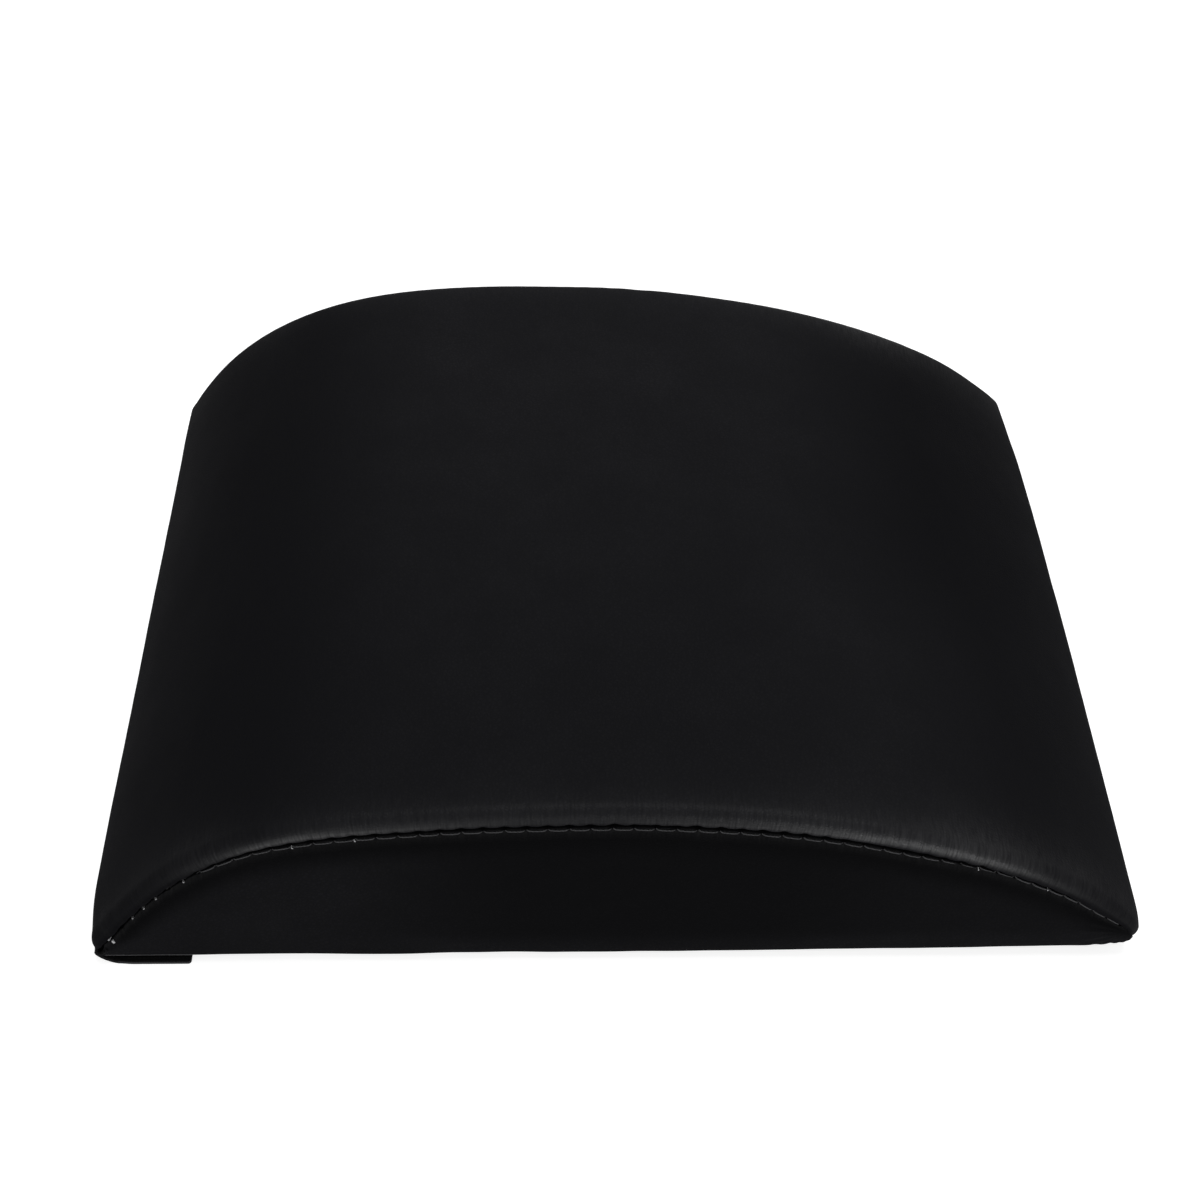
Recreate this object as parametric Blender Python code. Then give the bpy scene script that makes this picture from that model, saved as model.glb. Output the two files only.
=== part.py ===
"""Ab mat: a firm arched cushion that lies under the lower back during sit-ups.

The mat is a foam arch in a leather cover. +X runs along the length, towards the long gentle
slope; -X is the steep nose. +Y runs across the mat, and the end panel at -Y is the front.
+Z is up. The origin is on the floor, below the middle of the mat.
"""
import math

import bmesh
import bpy
import numpy as np

# Overall sizes, in metres
LENGTH = 0.380
DEPTH = 0.305
HEIGHT = 0.083

# Shape of the arch, seen from the front
CREST_X = -0.004
NOSE_RADIUS = 0.010
NOSE_ANGLE_LEFT = math.radians(56)
NOSE_ANGLE_RIGHT = math.radians(52)
SHOULDER_LEFT = 0.75
SHOULDER_RIGHT = 0.21
CROWN_LEFT = 0.72
CROWN_RIGHT = 0.57

# Cover
LEATHER = 0.0012
EDGE_ROLL = 0.0065
SEAM_DEPTH = 0.0008
HEM_PLAY = 0.0005
BASE_SLOPE = 0.012

# Closing flap with its hook-and-loop strips
FLAP_LENGTH = 0.025
FLAP_SETBACK = 0.0004
FLAP_CORNER = 0.0015
STRIP_WIDTH = 0.016
STRIP_MARGIN = 0.003
STRIP_CORNER = 0.002
HOOK_THICKNESS = 0.0010
LOOP_THICKNESS = 0.0010

# Foam
FOAM_SPLIT = 0.025

# Stitching
THREAD_RADIUS = 0.00025
STITCH_INSET = 0.0016
TACK_LENGTH = 0.005
TACK_WIDTH = 0.0012

# Gap between pieces that touch
CLEARANCE = 0.0003

# Fineness of the curves
NOSE_STEPS = 8
ARCH_STEPS = 22
ROLL_STEPS = 5

# The hem hangs just clear of the flap, and the base rises over the strips
HEM_LIFT = LEATHER + CLEARANCE + HEM_PLAY
HOOK_Z = LEATHER + CLEARANCE
LOOP_Z = HOOK_Z + HOOK_THICKNESS + CLEARANCE
PLATEAU = LOOP_Z + LOOP_THICKNESS + CLEARANCE
HEM_RADIUS = EDGE_ROLL - SEAM_DEPTH
FOLD_X = -LENGTH / 2 + NOSE_RADIUS
NOSE_X = LENGTH / 2 - NOSE_RADIUS
FLAP_END = FOLD_X + FLAP_LENGTH
STRIP_END = FLAP_END - STRIP_MARGIN
STRIP_START = STRIP_END - STRIP_WIDTH
INNER_Y = DEPTH / 2 - EDGE_ROLL
BASE_Y = INNER_Y - CLEARANCE
LEVEL_Y = BASE_Y - BASE_SLOPE
STRIP_Y = LEVEL_Y - CLEARANCE


def clear_scene():
    """Remove every object, so the script starts from an empty scene."""
    for old in list(bpy.data.objects):
        bpy.data.objects.remove(old, do_unlink=True)


def bezier(start, start_pull, end_pull, end, steps):
    """Points and unit normals of a cubic curve. The normals point to the left of its travel."""
    t = np.linspace(0, 1, steps + 1)[:, None]
    s = 1 - t
    points = s**3 * start + 3 * s * s * t * start_pull + 3 * s * t * t * end_pull + t**3 * end
    along = s * s * (start_pull - start) + 2 * s * t * (end_pull - start_pull) + t * t * (end - end_pull)
    along /= np.linalg.norm(along, axis=1)[:, None]
    return points, np.column_stack([-along[:, 1], along[:, 0]])


def arc(centre, radius, start, end, steps):
    """Points and outward normals of a circle's arc, from one angle to another."""
    a = np.linspace(start, end, steps + 1)
    normals = np.column_stack([np.cos(a), np.sin(a)])
    return centre + radius * normals, normals


LEFT_CENTRE = np.array([FOLD_X, NOSE_RADIUS])
RIGHT_CENTRE = np.array([NOSE_X, NOSE_RADIUS + HEM_LIFT])


def arch():
    """The outer skin from the left tip over the crest to the right tip, as x and z, with normals."""
    left_top = math.pi / 2 + NOSE_ANGLE_LEFT
    right_top = math.pi / 2 - NOSE_ANGLE_RIGHT
    left, left_n = arc(LEFT_CENTRE, NOSE_RADIUS, math.pi, left_top, 3)
    right, right_n = arc(RIGHT_CENTRE, NOSE_RADIUS, right_top, 0, 3)
    start, end = left[-1], right[0]
    crest = np.array([CREST_X, HEIGHT])
    rise = SHOULDER_LEFT * (crest[1] - start[1])
    fall = SHOULDER_RIGHT * (crest[1] - end[1])
    start_pull = start + np.array([rise / math.tan(NOSE_ANGLE_LEFT), rise])
    end_pull = end + np.array([-fall / math.tan(NOSE_ANGLE_RIGHT), fall])
    crest_left = crest - np.array([CROWN_LEFT * (crest[0] - start[0]), 0])
    crest_right = crest + np.array([CROWN_RIGHT * (end[0] - crest[0]), 0])
    up, up_n = bezier(start, start_pull, crest_left, crest, ARCH_STEPS)
    down, down_n = bezier(crest, crest_right, end_pull, end, ARCH_STEPS)
    points = np.vstack([left, up[1:], down[1:], right[1:]])
    normals = np.vstack([left_n, up_n[1:], down_n[1:], right_n[1:]])
    return points, normals


def skin():
    """The arch, carried round both noses to where the cover turns under the mat."""
    points, normals = arch()
    left, left_n = arc(LEFT_CENTRE, NOSE_RADIUS, 1.5 * math.pi, math.pi, NOSE_STEPS)
    right, right_n = arc(RIGHT_CENTRE, NOSE_RADIUS, 0, -0.5 * math.pi, NOSE_STEPS)
    points = np.vstack([left[:-1], points, right[1:]])
    normals = np.vstack([left_n[:-1], normals, right_n[1:]])
    return points, normals


def roll_angles():
    """Angles round the rolled edge, from the end face to the top."""
    return np.linspace(math.pi / 2, 0, ROLL_STEPS + 1)


def finish(name, bm, colour, roughness, smooth=True):
    """Turn a bmesh into a named object with its own material."""
    bmesh.ops.recalc_face_normals(bm, faces=bm.faces[:])
    mesh = bpy.data.meshes.new(name)
    bm.to_mesh(mesh)
    bm.free()
    obj = bpy.data.objects.new(name, mesh)
    bpy.context.collection.objects.link(obj)
    if smooth:
        mesh.shade_smooth()
        mesh.set_sharp_from_angle(angle=math.radians(40))
    paint(obj, colour, roughness)
    return obj


def paint(obj, colour, roughness):
    """Give an object a plain material in a linear colour."""
    material = bpy.data.materials.new(obj.name)
    material.use_nodes = True
    shader = material.node_tree.nodes["Principled BSDF"]
    shader.inputs["Base Color"].default_value = (*colour, 1)
    shader.inputs["Roughness"].default_value = roughness
    shader.inputs["Metallic"].default_value = 0.0
    obj.data.materials.append(material)


def grid_faces(bm, rows):
    """Faces of a grid of vertices, each cut along the same diagonal."""
    for a, b in zip(rows[:-1], rows[1:]):
        for i in range(len(a) - 1):
            bm.faces.new((a[i], a[i + 1], b[i + 1]))
            bm.faces.new((a[i], b[i + 1], b[i]))


def shell(outer, inner):
    """A closed sheet between two grids of points that have the same rows and columns."""
    bm = bmesh.new()
    top = [[bm.verts.new(p) for p in row] for row in outer]
    under = [[bm.verts.new(p) for p in row] for row in inner]
    grid_faces(bm, top)
    grid_faces(bm, under)
    edges = [
        (top[0], under[0]),
        (top[-1], under[-1]),
        ([r[0] for r in top], [r[0] for r in under]),
        ([r[-1] for r in top], [r[-1] for r in under]),
    ]
    for pair in edges:
        grid_faces(bm, pair)
    return bm


def top_panel():
    """The leather over the arch and round both noses, with its long edges rolled to the seams."""
    points, normals = skin()
    outer, inner = [], []
    angles = roll_angles()
    centre = DEPTH / 2 - EDGE_ROLL
    for side, order in ((-1, angles), (1, angles[::-1])):
        for a in order:
            for rows, radius in ((outer, EDGE_ROLL), (inner, EDGE_ROLL - LEATHER)):
                ring = points - (EDGE_ROLL - radius * math.cos(a)) * normals
                y = np.full(len(ring), side * (centre + radius * math.sin(a)))
                rows.append(np.column_stack([ring[:, 0], y, ring[:, 1]]))
    return finish("top_panel", shell(outer, inner), (0.0085, 0.0085, 0.009), 0.45)


def end_panel(name, side):
    """A flat end panel below the seam, whose lower edge curves under the mat."""
    points, normals = skin()
    seam = points - (EDGE_ROLL + CLEARANCE) * normals
    hem_top = HEM_LIFT + HEM_RADIUS
    seam = seam[seam[:, 1] > hem_top + CLEARANCE]
    left, right = FOLD_X + CLEARANCE, NOSE_X - CLEARANCE
    corners = [(min(seam[0][0], left - CLEARANCE), hem_top), (left, hem_top), (right, hem_top)]
    outline = corners + [tuple(p) for p in seam[::-1]]
    face_y = DEPTH / 2 - SEAM_DEPTH

    bm = bmesh.new()
    outer = [bm.verts.new((x, side * face_y, z)) for x, z in outline]
    inner = [bm.verts.new((x, side * (face_y - LEATHER), z)) for x, z in outline]
    bm.faces.new(outer)
    bm.faces.new(inner)
    count = len(outline)
    for i in range(count):
        if i != 1:
            j = (i + 1) % count
            bm.faces.new((outer[i], outer[j], inner[j], inner[i]))

    # the lower edge turns under through a quarter circle, between the two noses
    before = (outer[1], outer[2], inner[2], inner[1])
    for a in roll_angles()[1:]:
        ring = []
        for x, radius in ((left, HEM_RADIUS), (right, HEM_RADIUS),
                          (right, HEM_RADIUS - LEATHER), (left, HEM_RADIUS - LEATHER)):
            y = face_y - HEM_RADIUS + radius * math.sin(a)
            ring.append(bm.verts.new((x, side * y, hem_top - radius * math.cos(a))))
        for i in range(4):
            j = (i + 1) % 4
            bm.faces.new((before[i], before[j], ring[j], ring[i]))
        before = ring
    bm.faces.new(before)
    return finish(name, bm, (0.006, 0.006, 0.0065), 0.5)


def base_breaks():
    """Places along the length where the underside changes slope, each with its height inside."""
    fall = FLAP_END + 2 * CLEARANCE
    rise = STRIP_START - STRIP_MARGIN
    return [
        (rise, HEM_LIFT),
        (STRIP_START - CLEARANCE, PLATEAU),
        (STRIP_END + CLEARANCE, PLATEAU),
        (fall, HEM_LIFT),
        (fall + BASE_SLOPE, 0.0),
        (NOSE_X - BASE_SLOPE, 0.0),
    ]


def base_panel():
    """The leather underneath, lifted over the closure and lying flat on the floor elsewhere."""
    breaks = [(FOLD_X + CLEARANCE, HEM_LIFT)] + base_breaks() + [(NOSE_X - CLEARANCE, HEM_LIFT)]
    lower, upper = [], []
    for y in (-BASE_Y, -LEVEL_Y, LEVEL_Y, BASE_Y):
        heights = [z if abs(y) < BASE_Y else HEM_LIFT for _, z in breaks]
        lower.append([(x, y, z) for (x, _), z in zip(breaks, heights)])
        upper.append([(x, y, z + LEATHER) for (x, _), z in zip(breaks, heights)])
    return finish("base_panel", shell(lower, upper), (0.006, 0.006, 0.006), 0.6, smooth=False)


def foam_ring(inset, level):
    """One outline of the foam: along the underside, up the right nose and back over the arch."""
    points, normals = arch()
    gap = LEATHER + CLEARANCE + inset
    over = points - gap * normals
    floor = HEM_LIFT + LEATHER + CLEARANCE + inset
    under = []
    for x, z in base_breaks():
        under.append((x, z + LEATHER + CLEARANCE if level else floor))
    turn = np.linspace(math.pi / 2, 0, NOSE_STEPS + 1)
    rising, falling = [], []
    for a in turn[:-1]:
        across = (NOSE_RADIUS - gap) * math.cos(a)
        drop = (RIGHT_CENTRE[1] - floor) * math.sin(a)
        rising.append((RIGHT_CENTRE[0] + across, RIGHT_CENTRE[1] - drop))
    for a in turn[::-1][1:]:
        across = (NOSE_RADIUS - gap) * math.cos(a)
        drop = (LEFT_CENTRE[1] - floor) * math.sin(a)
        falling.append((LEFT_CENTRE[0] - across, LEFT_CENTRE[1] - drop))
    return under + rising + [tuple(p) for p in over[::-1]] + falling


def foam_mesh():
    """The whole foam arch as one closed body with rounded end edges."""
    radius = EDGE_ROLL - SEAM_DEPTH - LEATHER - CLEARANCE
    stations = []
    for a in roll_angles():
        stations.append((INNER_Y + radius * math.sin(a), radius * (1 - math.cos(a)), False))
    stations += [(BASE_Y, 0, False), (LEVEL_Y, 0, True)]
    stations = [(-y, d, flat) for y, d, flat in stations] + stations[::-1]
    bm = bmesh.new()
    rings = []
    for y, inset, level in stations:
        rings.append([bm.verts.new((x, y, z)) for x, z in foam_ring(inset, level)])
    grid_faces(bm, [ring + ring[:1] for ring in rings])
    bm.faces.new(rings[0])
    bm.faces.new(rings[-1])
    return bm


def cut_box(name, low, high):
    """A box that marks out which part of the foam a piece keeps."""
    bm = bmesh.new()
    bmesh.ops.create_cube(bm, size=1)
    size = (2 * LENGTH, 2 * DEPTH, high - low)
    bmesh.ops.scale(bm, vec=size, verts=bm.verts[:])
    mesh = bpy.data.meshes.new(name)
    bm.to_mesh(mesh)
    bm.free()
    box = bpy.data.objects.new(name, mesh)
    bpy.context.collection.objects.link(box)
    box.location = (0, 0, (low + high) / 2)
    box.hide_render = True
    box.display_type = "WIRE"
    return box


def foam_piece(name, low, high, colour):
    """The slice of the foam arch between two heights."""
    obj = finish(name, foam_mesh(), colour, 0.9)
    cut = obj.modifiers.new("slice", "BOOLEAN")
    cut.operation = "INTERSECT"
    cut.object = cut_box(name + "_slice", low, high)
    return obj


def plate(name, start, end, half_width, thickness, corner, colour, roughness, square_start=False):
    """A flat plate between two places in x, with round corners. One end can be cut square."""
    outline = []
    quarter = np.linspace(0, math.pi / 2, 5)
    for turn, x, y in ((3, end, -1), (0, end, 1), (1, start, 1), (2, start, -1)):
        if square_start and x == start:
            outline.append((x, y * half_width, 0))
            continue
        inwards = -1 if x == end else 1
        for a in quarter + turn * math.pi / 2:
            px = x + inwards * corner + corner * math.cos(a)
            py = y * (half_width - corner) + corner * math.sin(a)
            outline.append((px, py, 0))
    bm = bmesh.new()
    face = bm.faces.new([bm.verts.new(p) for p in outline])
    raised = bmesh.ops.extrude_face_region(bm, geom=[face])
    verts = [g for g in raised["geom"] if isinstance(g, bmesh.types.BMVert)]
    bmesh.ops.translate(bm, vec=(0, 0, thickness), verts=verts)
    return finish(name, bm, colour, roughness, smooth=False)


def closing_flap():
    """The end of the top leather, folded under the steep nose. Its origin is on the fold."""
    flap = plate("closing_flap", CLEARANCE, FLAP_LENGTH, DEPTH / 2 - FLAP_SETBACK, LEATHER,
                 FLAP_CORNER, (0.006, 0.006, 0.0065), 0.55, square_start=True)
    flap.location = (FOLD_X, 0, 0)
    hook = plate("hook_strip", 0, STRIP_WIDTH, STRIP_Y, HOOK_THICKNESS, STRIP_CORNER,
                 (0.01, 0.01, 0.01), 0.9)
    hook.parent = flap
    hook.location = (STRIP_START - FOLD_X, 0, HOOK_Z)
    return flap


def loop_strip():
    """The loop half of the closure, sewn under the base."""
    strip = plate("loop_strip", 0, STRIP_WIDTH, STRIP_Y, LOOP_THICKNESS, STRIP_CORNER,
                  (0.012, 0.012, 0.012), 0.95)
    strip.location = (STRIP_START, 0, LOOP_Z)
    return strip


def stitch_path():
    """The line of the topstitching on an end panel, from the left nose to the right."""
    points, normals = arch()
    path = points - (EDGE_ROLL + CLEARANCE + STITCH_INSET) * normals
    return path[3:-3]


def topstitch(name, side):
    """The thread along the seam on one end panel, beginning beside its bar tack."""
    path = stitch_path()
    run = np.concatenate([[0], np.cumsum(np.linalg.norm(np.diff(path, axis=0), axis=1))])
    start = TACK_LENGTH / 2 + CLEARANCE
    begin = np.array([np.interp(start, run, path[:, 0]), np.interp(start, run, path[:, 1])])
    path = np.vstack([begin, path[run > start + CLEARANCE]])
    y = side * (DEPTH / 2 - SEAM_DEPTH + CLEARANCE + THREAD_RADIUS)
    curve = bpy.data.curves.new(name, "CURVE")
    curve.dimensions = "3D"
    spline = curve.splines.new("POLY")
    spline.points.add(len(path) - 1)
    for point, (x, z) in zip(spline.points, path):
        point.co = (x, y, z, 1)
    curve.bevel_depth = THREAD_RADIUS
    curve.bevel_resolution = 1
    curve.use_fill_caps = True
    thread = bpy.data.objects.new(name, curve)
    bpy.context.collection.objects.link(thread)
    paint(thread, (0.012, 0.012, 0.013), 0.6)
    return thread


def bar_tack(name, side):
    """The dense stitches that close off the seam at the steep nose."""
    path = stitch_path()
    along = path[1] - path[0]
    bm = bmesh.new()
    bmesh.ops.create_cube(bm, size=1)
    bmesh.ops.scale(bm, vec=(TACK_LENGTH, 2 * THREAD_RADIUS, TACK_WIDTH), verts=bm.verts[:])
    bmesh.ops.bevel(bm, geom=bm.edges[:], offset=THREAD_RADIUS / 2, segments=1, affect="EDGES")
    tack = finish(name, bm, (0.02, 0.02, 0.02), 0.6, smooth=False)
    tack.rotation_euler = (0, -math.atan2(along[1], along[0]), 0)
    y = side * (DEPTH / 2 - SEAM_DEPTH + CLEARANCE + THREAD_RADIUS)
    tack.location = (path[0][0], y, path[0][1])
    return tack


def build():
    """Make every piece of the mat where it lies."""
    clear_scene()
    half_gap = CLEARANCE / 2
    foam_piece("foam_base", -HEIGHT, FOAM_SPLIT - half_gap, (0.10, 0.10, 0.11))
    foam_piece("foam_dome", FOAM_SPLIT + half_gap, 2 * HEIGHT, (0.55, 0.50, 0.38))
    top_panel()
    end_panel("front_end_panel", -1)
    end_panel("rear_end_panel", 1)
    base_panel()
    closing_flap()
    loop_strip()
    topstitch("front_topstitch", -1)
    topstitch("rear_topstitch", 1)
    bar_tack("front_bar_tack", -1)
    bar_tack("rear_bar_tack", 1)


build()
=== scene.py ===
# %% [markdown]
# # An ab mat: a foam arch in a sewn, leather-look cover
# The real object is a low cushion for sit-ups. Two slabs of foam are glued into an arch, and a
# black PU leather cover is sewn round it: a long panel over the arch, a D-shaped panel at each
# end, a panel underneath, and a flap that closes the cover under the steep nose. Each is a surface
# worked out with numpy, on a frame from a CAD program. The frame comes first, because every piece
# rides on one of its bodies.

# %% Load the frame
import math

import bpy
import numpy as np
from mathutils import Matrix


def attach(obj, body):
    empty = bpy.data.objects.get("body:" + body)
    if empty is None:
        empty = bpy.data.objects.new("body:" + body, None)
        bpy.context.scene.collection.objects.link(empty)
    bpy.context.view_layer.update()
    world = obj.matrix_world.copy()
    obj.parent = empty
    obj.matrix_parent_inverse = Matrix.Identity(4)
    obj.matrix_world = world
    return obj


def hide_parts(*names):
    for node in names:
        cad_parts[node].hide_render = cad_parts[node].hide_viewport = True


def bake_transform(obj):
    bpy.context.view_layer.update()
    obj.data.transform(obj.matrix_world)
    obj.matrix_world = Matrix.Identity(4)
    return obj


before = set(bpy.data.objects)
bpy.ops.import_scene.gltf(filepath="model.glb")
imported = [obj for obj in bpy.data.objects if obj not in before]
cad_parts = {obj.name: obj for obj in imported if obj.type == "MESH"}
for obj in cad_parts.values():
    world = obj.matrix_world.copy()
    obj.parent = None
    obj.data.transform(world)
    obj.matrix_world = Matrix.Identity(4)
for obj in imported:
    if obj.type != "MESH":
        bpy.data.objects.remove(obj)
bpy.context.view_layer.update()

for name in ("Cube", "Light", "Camera"):
    if name in bpy.data.objects:
        bpy.data.objects.remove(bpy.data.objects[name])

# %% [markdown]
# ## The camera
# The photograph looks down on the long side of the mat from about 44 degrees, turned a little to
# the right and rolled by under two degrees, through a short tele lens. These were worked out by
# laying the arch's outline and seam over the photograph's. A camera looks along its own -Z, with
# +Y up, so its three directions are the columns of its matrix.

# %% Place the camera
CAMERA_PLACE = (-0.0306, -0.57074, 0.58835)
LOOK_DOWN = math.radians(44.134)
TURN_RIGHT = math.radians(2.689)
ROLL = math.radians(1.808)
LENS_MM, SENSOR_MM = 58.82, 36


def place_object(name, data, axes=(), place=()):
    """A new object in the scene. The columns of its matrix are its three axes and its place."""
    thing = bpy.data.objects.new(name, data)
    bpy.context.scene.collection.objects.link(thing)
    if axes:
        matrix = np.eye(4)
        matrix[:3] = np.column_stack([*axes, place])
        thing.matrix_world = Matrix(matrix.tolist())
    return thing


forward = np.array([
    math.sin(TURN_RIGHT) * math.cos(LOOK_DOWN),
    math.cos(TURN_RIGHT) * math.cos(LOOK_DOWN),
    -math.sin(LOOK_DOWN),
])
level_right = np.array([math.cos(TURN_RIGHT), -math.sin(TURN_RIGHT), 0.0])
level_up = np.cross(level_right, forward)
right = math.cos(ROLL) * level_right + math.sin(ROLL) * level_up
up = math.cos(ROLL) * level_up - math.sin(ROLL) * level_right

camera_data = bpy.data.cameras.new("camera")
camera_data.lens = LENS_MM
camera_data.sensor_width = SENSOR_MM
camera = place_object("camera", camera_data, (right, up, -forward), CAMERA_PLACE)
bpy.context.scene.camera = camera
print("camera looks along", forward.round(3))

# %% [markdown]
# ## Helpers for surfaces
# Nearly every piece is a sheet: an outer grid of points, an inner grid below it, and a rim that
# joins their borders. Both grids have the same rows and columns, so the faces follow from the
# points' numbers alone. The sign of the volume inside tells whether the faces point outwards.

# %% Turn two grids into a closed sheet
OUTSIDE, INSIDE, RIM, FOLDED = 0, 1, 2, 3


def smooth(value, low, high):
    """0 below low, 1 above high, and 3t^2 - 2t^3 between them, where t is the share of the way."""
    t = np.clip((value - low) / (high - low), 0, 1)
    return t * t * (3 - 2 * t)


def unit(vectors):
    """Vectors divided by their lengths."""
    return vectors / np.maximum(np.linalg.norm(vectors, axis=-1, keepdims=True), 1e-12)


def sheet_faces(rows, columns):
    """Quads of the outer grid, of the inner grid turned over and of the rim, and their kinds."""
    index = np.arange(rows * columns).reshape(rows, columns)
    outer = np.stack([index[:-1, :-1], index[:-1, 1:], index[1:, 1:], index[1:, :-1]], -1)
    outer = outer.reshape(-1, 4)
    inner = outer[:, ::-1] + rows * columns
    border = np.concatenate([index[0], index[1:, -1], index[-1, -2::-1], index[-2:0:-1, 0]])
    after = np.roll(border, -1)
    rim = np.stack([after, border, border + rows * columns, after + rows * columns], -1)
    kinds = np.repeat([OUTSIDE, INSIDE, RIM], [len(outer), len(inner), len(rim)])
    return np.concatenate([outer, inner, rim]), kinds


def signed_volume(points, quads):
    """A sixth of the sum of a . (b x c) over the triangles, which is positive if they face out."""
    a, b, c, d = (points[quads[:, i]] for i in range(4))
    twice = np.einsum("ij,ij->i", a, np.cross(b, c)) + np.einsum("ij,ij->i", a, np.cross(c, d))
    return twice.sum() / 6


def make_piece(name, points, faces, kinds, flat=None, sharp_deg=50):
    """An object from points and faces, with a finish number per face and a UV per point."""
    mesh = bpy.data.meshes.new(name)
    mesh.from_pydata(points.tolist(), [], [list(map(int, f)) for f in faces])
    mesh.polygons.foreach_set("material_index", np.asarray(kinds, np.int32))
    if flat is not None:
        layer = mesh.uv_layers.new(name="flat")
        corner = np.zeros(len(mesh.loops), np.int32)
        mesh.loops.foreach_get("vertex_index", corner)
        layer.data.foreach_set("uv", flat[corner].astype(np.float32).ravel())
    mesh.shade_smooth()
    mesh.set_sharp_from_angle(angle=math.radians(sharp_deg))
    mesh.update()
    return place_object(name, mesh)


def make_sheet(name, outer, inner, flat, sharp_deg=50, **marks):
    """A closed sheet between two grids, rows x columns x 3. Flat is its UV. Marks are 0 to 1."""
    rows, columns = outer.shape[:2]
    quads, kinds = sheet_faces(rows, columns)
    points = np.concatenate([outer.reshape(-1, 3), inner.reshape(-1, 3)])
    if signed_volume(points, quads) < 0:
        quads = quads[:, ::-1]
    uv = np.concatenate([flat.reshape(-1, 2)] * 2)
    piece = make_piece(name, points, quads, kinds, uv, sharp_deg)
    for mark, values in marks.items():
        layer = piece.data.attributes.new(mark, "FLOAT", "POINT")
        both = np.tile(np.broadcast_to(values, (rows, columns)).ravel(), 2)
        layer.data.foreach_set("value", both.astype(np.float32))
    print(f"{name}: {rows} x {columns} grid, {2 * len(quads)} triangles,",
          f"{abs(signed_volume(points, quads)) * 1e6:.1f} cm3 of material")
    return piece


# %% [markdown]
# ## Helpers for thread
# Stitches, hooks and loops are short bent tubes. A tube is a circle carried along a path: at each
# point the circle's plane is square to the path. All the tubes of a piece have the same count of
# points, so they are one array. No path runs along ASIDE, so its cross product with the path gives
# the circle's first direction.

# %% Carry a circle along many paths
ASIDE = (0.31, 0.17, 0.94)


def tubes(name, paths, radii, sides=6, finish=0):
    """Closed tubes round count x points x 3 paths. Ring point = path + r (cos a u + sin a v)."""
    count, steps = paths.shape[:2]
    along = unit(np.gradient(paths, axis=1))
    u = unit(np.cross(along, ASIDE))
    v = np.cross(along, u)
    a = np.linspace(0, 2 * math.pi, sides, endpoint=False)
    circle = np.cos(a)[:, None] * u[:, :, None] + np.sin(a)[:, None] * v[:, :, None]
    rings = paths[:, :, None] + np.broadcast_to(radii, (count, steps))[:, :, None, None] * circle
    size = steps * sides + 2
    points = np.concatenate([rings.reshape(count, -1, 3), paths[:, :1], paths[:, -1:]], axis=1)

    ring = np.arange(steps * sides).reshape(steps, sides)
    beside = np.roll(ring, -1, axis=1)
    walls = np.stack([ring[:-1], beside[:-1], beside[1:], ring[1:]], -1).reshape(-1, 4)
    first = np.stack([np.full(sides, size - 2), beside[0], ring[0]], -1)
    last = np.stack([np.full(sides, size - 1), ring[-1], beside[-1]], -1)
    faces, kinds = [], []
    for part in (walls, first, last):
        shifted = part[None] + size * np.arange(count)[:, None, None]
        faces += shifted.reshape(-1, part.shape[1]).tolist()
        kinds.append(np.repeat(np.broadcast_to(finish, count), len(part)))
    piece = make_piece(name, points.reshape(-1, 3), faces, np.concatenate(kinds), sharp_deg=80)
    print(f"{name}: {count} tubes of {len(walls) + 2 * sides} faces")
    return piece


# %% [markdown]
# ## The outline of the arch
# Seen from the end, the mat is an arch with two small round noses. A flank leaves its nose at 59
# degrees on the steep side and at 47 on the long slope. It is one cubic Bezier curve. Its first
# handle lies along the nose's tangent and its last one is level, so both flanks meet at the crest
# without a kink. The outline starts at the fold under the steep nose, and its equal steps keep a
# pattern from stretching.

# %% Work out the outline
LENGTH, DEPTH, HEIGHT = 0.380, 0.305, 0.083
NOSE_RADIUS = 0.010
HEM_LIFT = 0.002
CREST_X = -0.0079
STEEP_ANGLE, LONG_ANGLE = math.radians(58.9), math.radians(47.4)
STEEP_SHOULDER, LONG_SHOULDER = 1.07, 0.60
STEEP_CROWN, LONG_CROWN = 0.38, 0.381
STEP = 0.00095
FOLD_X = -LENGTH / 2 + NOSE_RADIUS
NOSE_X = LENGTH / 2 - NOSE_RADIUS
STEEP_NOSE = np.array([FOLD_X, NOSE_RADIUS])
LONG_NOSE = np.array([NOSE_X, NOSE_RADIUS + HEM_LIFT])


def arc(centre, start, end):
    """Points of a nose's circle: centre + radius (cos a, sin a)."""
    a = np.linspace(start, end, 400)[:, None]
    return centre + NOSE_RADIUS * np.hstack([np.cos(a), np.sin(a)])


def flank(foot, angle, shoulder, crown):
    """From nose to crest: s^3 a + 3 s^2 t b + 3 s t^2 c + t^3 d, where s = 1 - t."""
    rise, over = shoulder * (crest[1] - foot[1]), crest[0] - foot[0]
    handle = foot + (math.copysign(rise / math.tan(angle), over), rise)
    t = np.linspace(0, 1, 1500)[:, None]
    s = 1 - t
    return (s**3 * foot + 3 * s * s * t * handle
            + 3 * s * t * t * (crest - (crown * over, 0)) + t**3 * crest)


def run_along(line):
    """The distance of each point of a line from its start, along the line."""
    return np.concatenate([[0], np.cumsum(np.linalg.norm(np.diff(line, axis=0), axis=1))])


def even_steps(line, step):
    """The same line, cut into equal steps close to step, and the distance along it."""
    run = run_along(line)
    at = np.linspace(0, run[-1], int(round(run[-1] / step)) + 1)
    return np.column_stack([np.interp(at, run, line[:, i]) for i in range(line.shape[1])]), at


def left_of(line):
    """Unit vectors to the left of the line's direction, which here point out of the mat."""
    along = unit(np.gradient(line, axis=0))
    return np.column_stack([-along[:, 1], along[:, 0]])


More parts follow.
